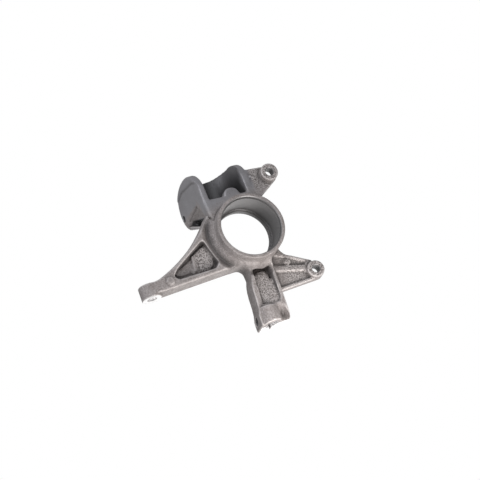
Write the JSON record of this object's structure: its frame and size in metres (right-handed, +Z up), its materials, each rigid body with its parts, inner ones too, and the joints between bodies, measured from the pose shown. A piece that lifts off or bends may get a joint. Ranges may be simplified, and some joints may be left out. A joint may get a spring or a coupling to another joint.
{
  "type": "steering knuckle",
  "caption": "Cast steering knuckle with a bearing barrel, strut clamp, tie-rod arm, ball-joint leg and caliper ears.",
  "frame": {"origin": "middle of the wheel bearing's seat, on its axis", "axes": "+Y inboard along the bearing's axis, +X towards the brake caliper, +Z up towards the strut"},
  "size_m": [0.2428, 0.1172, 0.231],
  "materials": {
    "cast_iron": "bare shot-blasted casting with machined bores and bolt faces"
  },
  "bodies": {
    "root": {"knuckle_casting": "cast_iron"}
  },
  "joints": []
}
